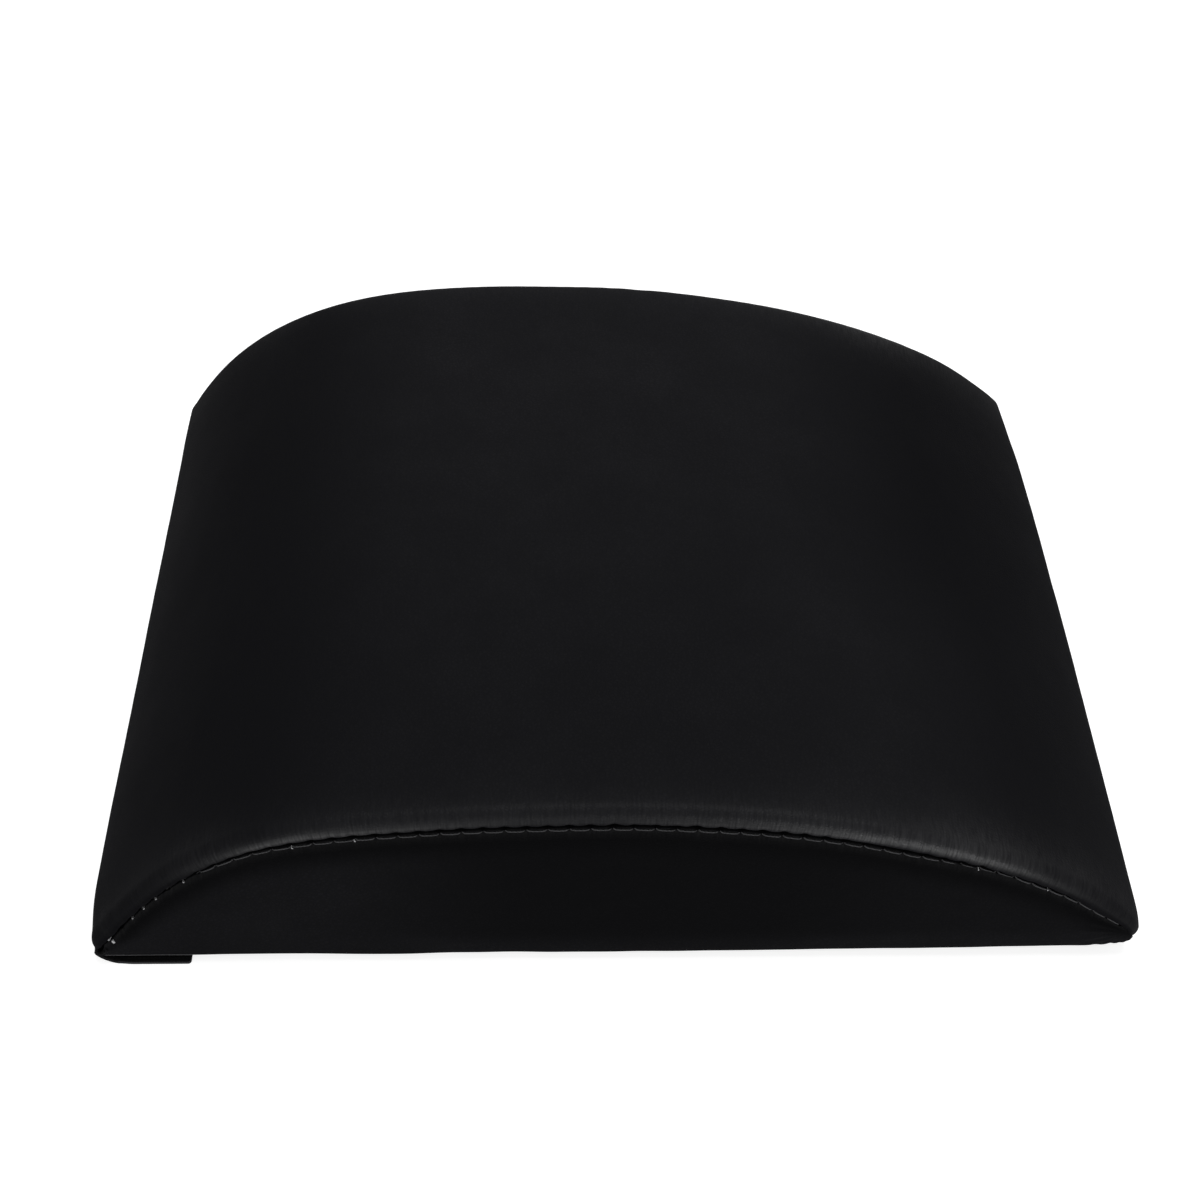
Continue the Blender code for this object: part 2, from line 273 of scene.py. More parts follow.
crest = np.array([CREST_X, HEIGHT])
up_nose = arc(STEEP_NOSE, 1.5 * math.pi, math.pi / 2 + STEEP_ANGLE)
down_nose = arc(LONG_NOSE, math.pi / 2 - LONG_ANGLE, -math.pi / 2)
steep_side = flank(up_nose[-1], STEEP_ANGLE, STEEP_SHOULDER, STEEP_CROWN)
long_side = flank(down_nose[0], LONG_ANGLE, LONG_SHOULDER, LONG_CROWN)[::-1]
outline, distance = even_steps(
    np.vstack([up_nose, steep_side[1:], long_side[1:], down_nose[1:]]), STEP)
outward = left_of(outline)
arch_x, arch_z = outline.T
print(f"outline: {len(outline)} points, {distance[-1] * 1000:.0f} mm from fold to far underside")

# %% [markdown]
# ## Where the real cover departs from the plain arch
# A sewn cover isn't perfect. In the photograph the front seam runs a little low on the steep side
# and a little high on the long slope. Both noses bow and are drawn in at their corners. The roll
# thins to half its size round the long nose, and the groove below it closes towards both ends. The
# tables give millimetres at places along or across the mat, but for CLOSE, the share of the groove
# that is closed. The seam ends at the long nose's tip, and beyond it the cover is tucked under.
# The shift fades towards the rear, which has its own table.

# %% Shift the front edge and draw in the corners
SHIFT_X = [-190, -172, -150, -128, -102, -76, -45, -15, 25, 60, 83, 104, 130, 160, 176]
SHIFT_MM = [0, -1.2, -0.4, 0, -1.4, -2.2, -1.2, -0.3, 0.2, 1.1, 1.4, 1.1, 1.0, 0.9, 0.8]
REAR_X = [-190, -170, -136, -105, -74, -43, -12, 19, 50, 81, 112, 144, 176, 190]
REAR_MM = [0, 0, -0.5, -0.35, -0.15, 0.2, 0, -0.5, -0.9, -0.65, -0.55, -0.5, -0.3, 0]
STEEP_BOW_Y = [-160, -153, -146, -141, -135, -127, -94, -60, -20, 20, 63, 110, 136, 153]
STEEP_BOW_MM = [-0.8, 1.4, 1.7, 0.7, -0.1, -0.4, -0.55, -0.35, -0.1, -0.1, -0.25, 0, 0.1, 0.3]
LONG_BOW_Y = [-153, -148.5, -144, -133, -100, -64, -26, 14, 58, 106, 114, 131, 153]
LONG_BOW_MM = [-4.4, -2.8, -1.7, -1.7, -0.85, -0.35, 0.1, 1.0, 1.2, 0.35, 0.05, -0.85, -1.8]
CLOSE_X = [-166, -150, -140, -125, -110, -95, 100, 115, 130, 145, 160, 172]
CLOSE = [0.65, 0.42, 0.38, 0.2, 0.08, 0, 0, 0.14, 0.42, 0.5, 0.55, 0.85]
EDGE_ROLL = 0.0056
SIDE = DEPTH / 2
ROLL_Y = SIDE - EDGE_ROLL
THIN_ROLL, THIN_OVER = 0.54, 0.024
STEEP_THIN = 0.70
TIP_ANGLE = 0.33
TUCK, TUCK_OVER = 0.0066, 0.016
FLARE = 0.025


def softened(at, places, values, blur):
    """Values between the given places, in metres, rounded off with a bell curve of that width."""
    even = np.arange(-230, 231, 1.0)
    bell = np.exp(-0.5 * (np.arange(-40, 41) / blur) ** 2)
    line = np.convolve(np.interp(even, places, values), bell / bell.sum(), "same")
    return np.interp(np.asarray(at) * 1000, even, line) / 1000


front_shift, rear_shift = (
    softened(arch_x, x, shift, 5) * smooth(arch_z, 0.002, 0.016)
    for x, shift in ((SHIFT_X, SHIFT_MM), (REAR_X, REAR_MM)))
long_angle = np.arctan2(arch_z - LONG_NOSE[1], arch_x - LONG_NOSE[0])
tip = int(np.argmax((arch_x > NOSE_X) & (long_angle < TIP_ANGLE)))
edge_share = 1 - (1 - THIN_ROLL) * smooth(distance, distance[tip] - THIN_OVER, distance[tip])
edge_share *= 1 - 0.8 * smooth(distance, distance[tip], distance[-1])
edge_share *= 1 - (1 - STEEP_THIN) * (1 - smooth(distance, 0.0115, 0.0270))
closing = 1000 * softened(arch_x, CLOSE_X, CLOSE, 5)
tuck = TUCK * smooth(distance, distance[tip] + 0.001, distance[tip] + TUCK_OVER)


def across(y, columns=slice(None)):
    """Where a row lies across the mat: the roll has its share of the width, less the tuck."""
    y = np.asarray(y, float)[..., None]
    a, share = np.abs(y), edge_share[columns]
    near = smooth(a, ROLL_Y - FLARE, ROLL_Y)
    place = np.where(a > ROLL_Y, SIDE - (SIDE - a) * share, a + EDGE_ROLL * (1 - share) * near)
    return np.sign(y) * (place - tuck[columns] * near)


def outline_at(y, inset=0.0, columns=slice(None)):
    """The outline's x and z at a row, moved inwards by its inset, and bowed at both noses."""
    y, inset = np.broadcast_arrays(np.asarray(y, float), np.asarray(inset, float))
    near = (1 - smooth(y, -0.150, 0.060))[..., None]
    far = smooth(y, 0.060, 0.140)[..., None]
    lift = front_shift[columns] * near + rear_shift[columns] * far
    deep = np.maximum(inset - EDGE_ROLL, 0)[..., None]
    lift = lift - (inset[..., None] - closing[columns] * deep) * edge_share[columns]
    points = outline[columns] + lift[..., None] * outward[columns]
    steep = softened(y, STEEP_BOW_Y, STEEP_BOW_MM, 4)[..., None]
    long = softened(y, LONG_BOW_Y, LONG_BOW_MM, 4)[..., None]
    points[..., 0] += steep * (1 - smooth(points[..., 0], -0.188, -0.160))
    points[..., 0] += long * smooth(points[..., 0], 0.150, 0.188)
    return points


print(f"front seam shift: {front_shift.min() * 1000:.1f} to {front_shift.max() * 1000:.1f} mm")

# %% [markdown]
# ## Irregular waves
# Nothing in leather repeats exactly. A sum of a few sine waves, with lengths near one size and
# random phases and directions, has no visible period. A fixed seed keeps every run the same.

# %% Make swells and ripples
def swell(a, b, size, seed, waves=9):
    """Sum of plane waves sin(2 pi (a cos d + b sin d) / length + phase), over root of count."""
    random = np.random.default_rng(seed)
    total = 0
    for _ in range(waves):
        length, turn, phase = size * random.uniform(0.7, 1.5), *random.uniform(0, 2 * math.pi, 2)
        ahead = a * math.cos(turn) + b * math.sin(turn)
        total = total + np.sin(2 * math.pi * ahead / length + phase)
    return total / math.sqrt(waves)


# %% [markdown]
# ## The top panel
# One piece of leather goes over the arch and round both noses. Its long edges roll down over the
# foam and turn in at the seam. A row of the grid is one place across the mat: a few rows turn in
# at the lip, ten go round the roll, and the rest cross the top. A stitch every 7.3 mm pulls the
# roll in, so the leather puffs between the needle holes, and here and there a longer crease runs
# up. Below the steep nose the leather isn't sewn. There it opens out flat and becomes the flap.

# %% Lay out the rows across the mat
LEATHER = 0.0012
PITCH = 0.00727
FIRST_HOLE = 0.00384
LIP = ((0.0082, 0.14920), (0.0080, 0.14960), (0.0077, 0.15030), (0.0072, 0.15115),
       (0.0067, 0.15190), (0.0062, 0.15235))
FREE_SIDE = SIDE + 0.0001

roll = np.linspace(math.pi / 2, 0, 10)
inner_y = ROLL_Y - np.concatenate([[0.001, 0.0022, 0.0036, 0.0054, 0.0076, 0.0104],
                                   np.linspace(0.0138, ROLL_Y, 32)])
half_y = np.concatenate([[y for _, y in LIP], ROLL_Y + EDGE_ROLL * np.sin(roll), inner_y])
half_inset = np.concatenate([[i for i, _ in LIP], EDGE_ROLL * (1 - np.cos(roll)), 0 * inner_y])
half_angle = np.arctan2(-np.gradient(half_inset), -np.gradient(half_y))
half_free_y = np.concatenate([FREE_SIDE - 1e-5 * np.arange(len(LIP)),
                              ROLL_Y + (FREE_SIDE - 1e-4 - ROLL_Y) * roll / (math.pi / 2), inner_y])
half_thick = np.concatenate([[0.25, 0.25, 0.3, 0.4, 0.6, 0.8], np.ones(len(roll) + len(inner_y))])
half_run = run_along(np.column_stack([half_y, half_inset]))
half_run -= half_run[len(LIP)]


def both_sides(half, sign=1):
    """Values from the front edge to the middle, then mirrored to the rear edge."""
    return np.concatenate([half, sign * half[-2::-1]])


row_y, row_free_y = -both_sides(half_y, -1), -both_sides(half_free_y, -1)
row_inset, row_angle, row_thick, row_run = map(
    both_sides, (half_inset, half_angle, half_thick, half_run))
row_side = np.sign(row_y)
row_across = row_side * (row_run.max() - row_run)
print(len(row_y), "rows across the mat")

# %% Bend the rows over the outline
sewn_angle = np.arctan2(arch_z - STEEP_NOSE[1], arch_x - STEEP_NOSE[0])
below = (arch_x < FOLD_X + 0.002) & (arch_z < NOSE_RADIUS)
under = np.where(below, sewn_angle + math.pi, 0)
sewn = 1 - smooth(under, 0.0, 0.5)
free_pull = 0.0004 + 0.0004 * (1 - smooth(arch_x, FOLD_X - 0.006, FOLD_X))

seam_ring = outline_at(-SIDE, 0.0078)
seam_run = run_along(seam_ring) - FIRST_HOLE


def cover_grid():
    """Points, moved in by the roll's inset, or flat where the leather isn't sewn; and normals."""
    free = 1 - sewn
    xz = sewn[:, None] * outline_at(row_y, row_inset) + free[:, None] * outline_at(row_free_y)
    y = sewn * across(row_y) + free * row_free_y[:, None] * (1 - free_pull / SIDE)
    upright = sewn * np.cos(row_angle)[:, None] + free
    sideways = sewn * (np.sin(row_angle) * row_side)[:, None]
    normal = np.stack([upright * outward[:, 0], sideways, upright * outward[:, 1]], -1)
    return np.stack([xz[..., 0], y, xz[..., 1]], -1), unit(normal)


def puckers(run, along, seed, depth=0.00030):
    """How far a seam pulls leather in: deepest at each needle hole, fading with distance."""
    hole = (0.5 - 0.5 * np.cos(2 * math.pi * along / PITCH)) ** 2
    strength = 1 + 0.5 * swell(along, 0 * along, 0.05, seed)
    near = np.exp(-np.maximum(run, 0) / 0.0024)
    long_crease = np.maximum(swell(along, 0.2 * run, 0.0085, seed + 1), 0)
    patch = smooth(swell(along, 0 * along, 0.09, seed + 2), -0.1, 0.9)
    reach = np.exp(-np.maximum(run - 0.002, 0) / 0.0055)
    return depth * strength * hole * near + 0.00022 * patch * long_crease * reach


# %% [markdown]
# ## Marks for the finish
# The leather shines only where it is stretched, so the grid carries a mark of how tight it is.
# Along the seam the shine has a narrow line, and a broad band that fades up the roll. Each row of
# GLOSS is a place along the mat, the line's strength and how far up it lies, and the band's
# strength, its start and the length over which it fades. All its lengths are in millimetres. A
# second mark is painted light: the colour is lighter along the crest, more so towards the rear and
# less on the steep side, and lighter in front on the long slope.

# %% Make the cover
GLOSS = np.array([
    (-178, 0, 1.4, 0.04, 1.0, 9), (-160, 0, 1.4, 0.08, 0.8, 9), (-150, 0, 1.4, 0.19, -0.4, 8),
    (-140, 0.12, 1.4, 0.17, -0.4, 8), (-125, 0.6, 1.0, 0.1, -0.6, 6.5),
    (-110, 0.55, 1.3, 0.23, -0.6, 5.5), (-90, 0.35, 0.7, 0.25, -0.6, 5.5),
    (-60, 0.15, 1.1, 0.2, -0.6, 5.5), (-30, 0.03, 1.5, 0.2, -0.6, 5.5),
    (0, 0.05, 1.2, 0.2, -0.6, 5.5), (30, 0.12, 0.8, 0.26, -0.6, 5.5),
    (60, 0.2, 1.2, 0.39, -0.6, 5.5), (80, 0.5, 1.3, 0.39, -0.4, 6), (100, 0.35, 1.9, 0.51, 0, 6.5),
    (115, 0.25, 2.1, 0.63, 0.1, 7.8), (130, 0.15, 2.5, 0.64, 0.2, 7.8),
    (140, 0.08, 2.8, 0.46, 0.5, 8), (150, 0, 2.8, 0.27, 0.3, 9), (160, 0, 2.8, 0.24, 0.4, 10),
    (168, 0, 2.8, 0.16, 1.1, 11), (176, 0, 2.8, 0.11, 1.3, 11)]).T
LINE_WIDTH, BAND_EDGE = 0.0010, 0.0019

grid, normal = cover_grid()
run, along = row_run[:, None], seam_run[None, :]
press = puckers(run, along, 3) * sewn
press[len(row_y) // 2:] = puckers(run, along, 13)[len(row_y) // 2:] * sewn
waves = 0.00016 * swell(distance[None, :], row_y[:, None], 0.085, 5)
waves += 0.00005 * swell(distance[None, :], row_y[:, None], 0.022, 6)
grid += ((smooth(run, 0.004, 0.030) * waves - press)[..., None]) * normal
inner = grid - (LEATHER * row_thick)[:, None, None] * normal
flat = np.stack(np.broadcast_arrays(distance[None, :], row_across[:, None]), -1)
line, line_at, band, start, fade = (
    softened(arch_x, GLOSS[0], column, 3) for column in GLOSS[1:])
tight = 1000 * line * np.exp(-((run - line_at) / LINE_WIDTH) ** 2)
tight += 1000 * band * np.exp(-np.maximum(run, 0) / fade) * smooth(run - start, 0, BAND_EDGE)
# Painted light: the colour is lighter along the crest and in front on the long slope, where more
# light falls.
crest_painted_light = smooth(arch_z, 0.052, 0.082) * (0.3 + 0.7 * smooth(arch_x, -0.135, -0.065))
slope_painted_light = smooth(arch_x, 0.035, 0.100) * (1 - 0.65 * smooth(arch_x, 0.125, 0.150))
worn = crest_painted_light * (0.55 + 0.45 * smooth(row_y, -0.150, 0.150))[:, None]
worn += 0.35 * slope_painted_light * smooth(-row_y, -0.020, 0.070)[:, None]
cover = make_sheet("cover", grid, inner, flat, tight=tight * sewn, worn=worn)

# %% [markdown]
# ## The flap
# The same leather ends in a flap, folded flat under the steep nose. It is a piece of its own.
# Its free corners are round, so its half width shrinks along a quarter circle there.

# %% Lay the flap under the nose
FLAP_LENGTH = 0.0261
FLAP_CORNER = 0.0012
FLAP_END = FOLD_X + FLAP_LENGTH
straight = FLAP_LENGTH - FLAP_CORNER
round_x = FLAP_LENGTH - FLAP_CORNER * (1 - np.sin(np.linspace(0, math.pi / 2, 9)[1:]))
flap_x = np.concatenate([np.linspace(0, 0.004, 13), np.linspace(0.0052, straight, 13), round_x])
corner = np.maximum(flap_x - straight, 0)
half_width = FREE_SIDE - FLAP_CORNER + np.sqrt(np.maximum(FLAP_CORNER**2 - corner**2, 0))
half_width -= 0.0004 * (1 - smooth(flap_x, 0, 0.006))
flap_y = np.linspace(-1, 1, 121)[:, None] * half_width
flap_wave = 0.00012 * swell(flap_x[None, :], flap_y, 0.035, 21) * smooth(flap_x, 0.001, 0.008)
outer = np.stack([FOLD_X + flap_x + 0 * flap_y, flap_y, np.abs(flap_wave) * 0.6], -1)
flap = make_sheet("flap", outer, outer + (0, 0, LEATHER),
                  np.stack([0 * flap_y - flap_x, flap_y], -1))

# %% [markdown]
# ## The end panels
# Each end is a flat panel that fills the arch below the seam. Its upper edge turns in beside the
# cover's lip, which leaves a narrow dark groove, and its lower edge curves under the mat. The
# rows go from the underside round the lower curve, up the face on straight lines and into the
# groove.

# %% Trace a panel's lower edge
HEM_X = [-184, -60, 0, 60, 120, 150, 170, 184]
HEM_ROLL_MM = [3.1, 3.2, 3.7, 4.3, 5.0, 5.4, 5.2, 5.0]
CORNER_RUN = np.array([0, 2, 4, 6, 8, 11, 14, 18, 24, 32]) / 1000
CORNER_X = np.array([184.6, 186.0, 186.0, 184.6, 182.5, 180.0, 177.2, 173.3, 167.5, 161.5]) / 1000
CORNER_Z = np.array([13.2, 11.0, 8.8, 6.9, 5.2, 4.4, 3.5, 3.1, 2.7, 2.5]) / 1000
HANG_X = [-190, -10, 10, 33, 60, 84, 109, 134, 159, 168, 176]
HANG_MM = [2.0, 2.0, 1.9, 1.75, 1.8, 1.9, 2.15, 2.1, 2.5, 2.7, 3.1]
HEM_STEEP_END = -0.1852
HEM_LEAN = 0.07
TIP_STRETCH = 1.0625
FACE_IN = 0.0008
PANEL_LIP = ((0.0093, 0.15172), (0.0088, 0.15150), (0.0085, 0.15105), (0.0084, 0.1502),
             (0.0083, 0.1491))
HEM_ROWS, FACE_ROWS = 10, 26
FOLD_ROW = 6

first = int(np.argmax(under < 0.40))
panel_columns = slice(first, tip + 1)
to_tip = seam_run[tip] - seam_run[panel_columns]
hole = (0.5 - 0.5 * np.cos(2 * math.pi * seam_run[panel_columns] / PITCH)) ** 8
last_columns = slice(tip, None)


def eased(line, width=2):
    """The line with each value replaced by the mean of its neighbours, but for its two ends."""
    padded = np.pad(line, width, mode="reflect", reflect_type="odd")
    return np.convolve(padded, np.ones(2 * width + 1) / (2 * width + 1), "valid")


def lower_edge(side, top_x):
    """Where a panel's face starts in each column: level on the floor, then up round the corner."""
    share = 1 - to_tip / to_tip[0]
    even = HEM_STEEP_END + share * (top_x[-1] - HEM_STEEP_END)
    low_x = (1 - HEM_LEAN) * top_x + HEM_LEAN * even
    low_x += (HEM_STEEP_END - low_x[0]) * (1 - smooth(share, 0, 0.05))
    corner = 1 - smooth(to_tip, 0.022, 0.032)
    low_x = eased(corner * np.interp(to_tip, CORNER_RUN, CORNER_X) + (1 - corner) * low_x)
    hang = softened(low_x, HANG_X, HANG_MM, 4)
    low_z = eased(corner * np.interp(to_tip, CORNER_RUN, CORNER_Z) + (1 - corner) * hang)
    radius = softened(low_x, HEM_X, HEM_ROLL_MM, 6) * (0.1 + 0.9 * smooth(to_tip, 0, 0.014))
    run = np.maximum(to_tip * TIP_STRETCH, 0)
    edge = outline_at(side * SIDE, EDGE_ROLL + 0.0004, last_columns)
    edge_run = run_along(edge)
    under_nose = run < edge_run[-1]
    seam = [np.where(under_nose, np.interp(run, edge_run, value), rest) for value, rest in (
        (edge[:, 0], low_x), (np.abs(across(SIDE, last_columns)) - 0.0004, ROLL_Y),
        (edge[:, 1], HEM_LIFT))]
    return low_x, low_z, radius, seam


# %% Fill the ends
def end_grid(side):
    """Points of an end panel: the underside, a quarter circle, the face, then the lip's rows."""
    tops = [outline_at(side * SIDE, inset, panel_columns)
            - (0.0006 * hole)[:, None] * outward[panel_columns] for inset, _ in PANEL_LIP]
    top_x = np.maximum(tops[0][:, 0], HEM_STEEP_END)
    low_x, low_z, radius, seam = lower_edge(side, top_x)
    face_y = across(SIDE, panel_columns) - FACE_IN
    rows = [tuple(seam)]
    for b in np.linspace(0, math.pi / 2, HEM_ROWS)[:-1]:
        rows.append((low_x, face_y - radius * (1 - math.sin(b)),
                     low_z + radius * (1 - math.cos(b))))
    for t in np.linspace(0, 1, FACE_ROWS)[:-1] ** 0.9:
        x = (1 - t) * low_x + t * tops[0][:, 0]
        z = (1 - t) * (low_z + radius) + t * tops[0][:, 1]
        rows.append((x, face_y + 0.0007 * math.sin(math.pi * t) ** 0.6, z))
    for top, (_, y) in zip(tops, PANEL_LIP):
        rows.append((top[:, 0], across(y, panel_columns), top[:, 1]))
    return np.stack([np.stack([x, side * y, z], -1) for x, y, z in rows])


def end_panel(name, side, seed):
    """The panel with its puckers and swells. A normal is the cross product of the grid's steps."""
    grid = end_grid(side)
    lip = len(PANEL_LIP)
    normal = unit(np.cross(np.gradient(grid, axis=0), np.gradient(grid, axis=1)))
    normal *= np.sign(normal[HEM_ROWS + FACE_ROWS // 2, :, 1].mean() * side)
    seam_gap = np.linalg.norm(grid - grid[-lip], axis=2)
    seam_gap[-lip:] = 0
    press = puckers(seam_gap, seam_run[panel_columns][None, :], seed, 0.00022) * 0.8
    press[:HEM_ROWS] = 0
    face = smooth(seam_gap, 0.002, 0.012)
    waves = 0.00014 * swell(grid[..., 0], grid[..., 2], 0.060, seed + 5)
    waves += 0.00005 * swell(grid[..., 0], grid[..., 2], 0.016, seed + 6)
    from_tip = grid - grid[-lip, -1]
    spread_angle = np.arctan2(from_tip[..., 2], -from_tip[..., 0])
    gap = np.linalg.norm(from_tip, axis=2)
    fan = 0.00016 * np.sin(19 * spread_angle) * np.exp(-((gap - 0.011) / 0.007) ** 2)
    fade = np.ones(len(grid))
    fade[:4], fade[1 - lip:] = (0, 0, 0.3, 0.7), 0
    grid = grid + ((waves * face - press + fan) * fade[:, None])[..., None] * normal
    thick = np.full(len(grid), LEATHER)
    thick[-lip:] = (0.0009, 0.0006, 0.0004, 0.0003, 0.0003)
    thick = thick[:, None] * (0.25 + 0.75 * smooth(to_tip, 0.001, 0.010))
    inner = grid - thick[..., None] * normal
    flat = np.stack([grid[..., 0], grid[..., 2] + 0.3 * side], -1)
    # Painted light and shade: the colour is darker close under the seam, where the roll shades the
    # panel, lighter towards both noses, and lighter towards the bottom, where light from the floor
    # falls.
    worn = 0.25 + 0.75 * smooth(-grid[..., 0], 0.03, 0.11) + 0.4 * smooth(grid[..., 0], 0.05, 0.12)
    low = smooth(-grid[..., 2], -0.018, -0.004)
    low *= 0.7 + 0.3 * smooth(np.abs(grid[..., 0]), 0.03, 0.09)
    worn = worn * smooth(seam_gap, 0.003, 0.016) + low
    panel = make_sheet(name, grid, inner, flat, tight=np.exp(-(seam_gap / 0.0022) ** 2),
                       worn=np.clip(worn, 0, 1))
    # Painted highlight: the hem's faces over the flap take the fold's light grey finish.
    over_flap = grid[FOLD_ROW:FOLD_ROW + 2, :-1, 0] < FLAP_END + 0.0015
    for row, column in np.argwhere(over_flap).tolist():
        face = (FOLD_ROW + row) * (grid.shape[1] - 1) + column
        panel.data.polygons[face].material_index = FOLDED
    return panel


front_end = end_panel("front_end", -1, 31)
rear_end = end_panel("rear_end", 1, 41)

# %% [markdown]
# ## The panel underneath
# The underside is one more sheet. It hangs two millimetres up along its edges, where it meets the
# end panels, and settles flat on the floor inside. Near the steep nose it rises again, because the
# flap and its hook-and-loop strips lie between it and the floor.

# %% Spread the underside
BASE_Y = ROLL_Y - 0.0003
SETTLE = 0.012
PLATEAU = 0.0041
base_x = np.concatenate([np.linspace(FOLD_X + 0.0003, FLAP_END + 0.014, 60),
                         np.linspace(FLAP_END + 0.016, NOSE_X - 0.0003, 130)])
base_y = np.linspace(-BASE_Y, BASE_Y, 121)
gx, gy = np.meshgrid(base_x, base_y)
over_flap = 1 - smooth(gx, FLAP_END + 0.0006, FLAP_END + SETTLE)
over_strip = smooth(gx, -0.1775, -0.1743) * (1 - smooth(gx, -0.1577, -0.1545))
at_side = 1 - smooth(BASE_Y - np.abs(gy), 0.0, SETTLE)
at_nose = smooth(gx, NOSE_X - SETTLE, NOSE_X - 0.0003)
hang = np.maximum.reduce([over_flap, at_side, at_nose]) * HEM_LIFT
inside = 1 - smooth(np.abs(gy), BASE_Y - SETTLE, BASE_Y)
gz = hang + (PLATEAU - HEM_LIFT) * over_strip * inside
rest = (1 - over_flap) * (1 - at_side) * (1 - at_nose)
gz += 0.00030 * np.maximum(swell(gx, gy, 0.045, 51), 0) * rest
outer = np.stack([gx, gy, gz], -1)
base = make_sheet("base", outer, outer + (0, 0, LEATHER), outer[..., :2])

# %% [markdown]
# ## The foam
# Inside are two slabs: firm charcoal foam below and softer cream foam above, glued on one level.
# A slab is a sheet too, between its top and its underside. Five lines across the mat are enough,
# since the outline changes only near the ends.

# %% Fill the cover with foam
FOAM_SPLIT = 0.025
FOAM_GAP = LEATHER + 0.0010
FOAM_CORNER = 0.014
FOAM_ENDS = ((ROLL_Y - 0.0005, FOAM_GAP + 0.002), (ROLL_Y - 0.004, FOAM_GAP))


def foam_block(name, low, high, underside, count=140):
    """A slab that follows the cover's outline from within, between two levels."""
    upper, lower = [], []
    for y, inset in (*((-y, gap) for y, gap in FOAM_ENDS), (0.0, FOAM_GAP), *FOAM_ENDS[::-1]):
        line = outline_at(y) - inset * outward
        inner = FOAM_CORNER * smooth(abs(y), 0.136, 0.148) - NOSE_RADIUS
        inside = (line[:, 0] > FOLD_X + inner) & (line[:, 0] < NOSE_X - inner)
        line = line[inside & (outward[:, 1] > -0.2) & (line[:, 1] > low)]
        x = line[0, 0] + np.ptp(line[:, 0]) * (0.5 - 0.5 * np.cos(np.linspace(0, math.pi, count)))
        top = np.clip(np.interp(x, line[:, 0], line[:, 1]), low + 1e-4, high)
        bottom = underside(x) + 0.006 * smooth(abs(y), 0.136, 0.147)
        upper.append(np.stack([x, y + 0 * x, top], -1))
        lower.append(np.stack([x, y + 0 * x, np.minimum(bottom, top - 5e-5)], -1))
    upper = np.stack(upper)
    return make_sheet(name, upper, np.stack(lower), upper[..., :2], sharp_deg=60)


def over_base(x):
    """The foam's underside: above the leather, over the flap's strips, and up round both noses."""
    under_noses = smooth(x, NOSE_X - 0.002, NOSE_X + 0.010)
    under_noses = under_noses + 1 - smooth(x, FOLD_X - 0.010, FOLD_X + 0.002)
    over_strips = (1 - smooth(x, FLAP_END + 0.001, FLAP_END + SETTLE)) * PLATEAU
    return over_strips + 0.010 * under_noses + LEATHER + 0.0007


foam_slab = foam_block("foam_slab", 0.0075, FOAM_SPLIT - 0.0002, over_base)
foam_arch = foam_block("foam_arch", FOAM_SPLIT + 0.0002, HEIGHT,
                       lambda x: 0 * x + FOAM_SPLIT + 0.0002)

# %% [markdown]
# ## The stitches
# A machine sewed the end panels on from outside, close below the groove. A stitch is a length of
# thread that dives into a needle hole at both ends. All the paths are found together: a start every
# 7.3 mm along the seam, and a share of the way to the next. Near the steep end the thread sinks
# into the groove, and at a few holes a knot pokes out, light grey as a painted glint.

# %% Sew the seams
THREAD = 0.00028
SEAM_START, SEAM_STOP = 0.0120, 0.0010
KNOTS = np.array([3, 4, 5, 7, 13, 16, 46, 50])


def on_seam(at, inset, side, out):
    """Points beside the seam: at a distance along it, inset from the outline, out from the face."""
    insets = np.linspace(0.0045, 0.0150, 22)
    rings = np.stack([[np.interp(at, seam_run, line[:, i])
                       for line in outline_at(side * SIDE, insets)] for i in (0, 1)])
    place = np.clip((inset - insets[0]) / (insets[1] - insets[0]), 0, len(insets) - 1.001)
    lower = place.astype(int)
    share = place - lower
    near, far = (np.take_along_axis(rings, (lower + i)[None, None], 1)[:, 0] for i in (0, 1))
    x, z = (1 - share) * near + share * far
    y = np.interp(at, seam_run, across(SIDE)) - FACE_IN + out
    return np.stack([x, side * y, z], -1)


def seam_stitches(name, side):
    """Long stitches along the panel's edge, and the knots."""
    begin, end = seam_run[first] + SEAM_START, seam_run[tip] - SEAM_STOP
    holes = (np.arange(math.ceil(begin / PITCH), int(end / PITCH)) + 0.5) * PITCH
    t = np.linspace(0, 1, 9)
    rise = np.sin(math.pi * t) ** 0.2
    at = holes[:-1, None] + PITCH * (0.04 + 0.92 * t)
    x = np.interp(at, seam_run, seam_ring[:, 0])
    sunk = 0.0009 * (1 - smooth(x, -0.154, -0.138)) + 0.0004 * smooth(x, 0.098, 0.118)
    sunk -= 0.0006 * smooth(x, 0.136, 0.146)
    long = on_seam(at, 0.0091 + 0.0002 * t + 0 * at, side, -0.0006 + 0.00072 * rise - sunk)
    at = PITCH * (KNOTS[:, None] + 0.5) + 0.0003 * (t - 0.5)
    knot = on_seam(at, 0.0092 + 0.0008 * t + 0 * at, side, -0.0008 + 0.00100 * rise)
    finish = np.repeat([0, 1], [len(long), len(knot)])
    radii = np.repeat([THREAD, 0.7 * THREAD], [len(long), len(knot)])[:, None]
    return tubes(name, np.concatenate([long, knot]), radii, finish=finish)


front_stitches = seam_stitches("front_stitches", -1)
rear_stitches = seam_stitches("rear_stitches", 1)

# %% Close the seams with bar tacks
TACK_AT = 0.0066


def bar_tack(name, side):
    """Three threads across the seam near its end on the steep nose, dipping into the groove."""
    t = np.linspace(0, 1, 17)
    at = seam_run[first] + TACK_AT + np.array([[-0.0003], [0], [0.0003]]) - 0.0009 * (t - 0.5)
    inset = 0.0062 + 0.0084 * t + 0 * at
    out = 0.0005 - 0.0003 * t - 0.0024 * smooth(t, 0.05, 0.20) * (1 - smooth(t, 0.50, 0.66))
    return tubes(name, on_seam(at, inset, side, out), THREAD)


front_tack = bar_tack("front_tack", -1)
rear_tack = bar_tack("rear_tack", 1)

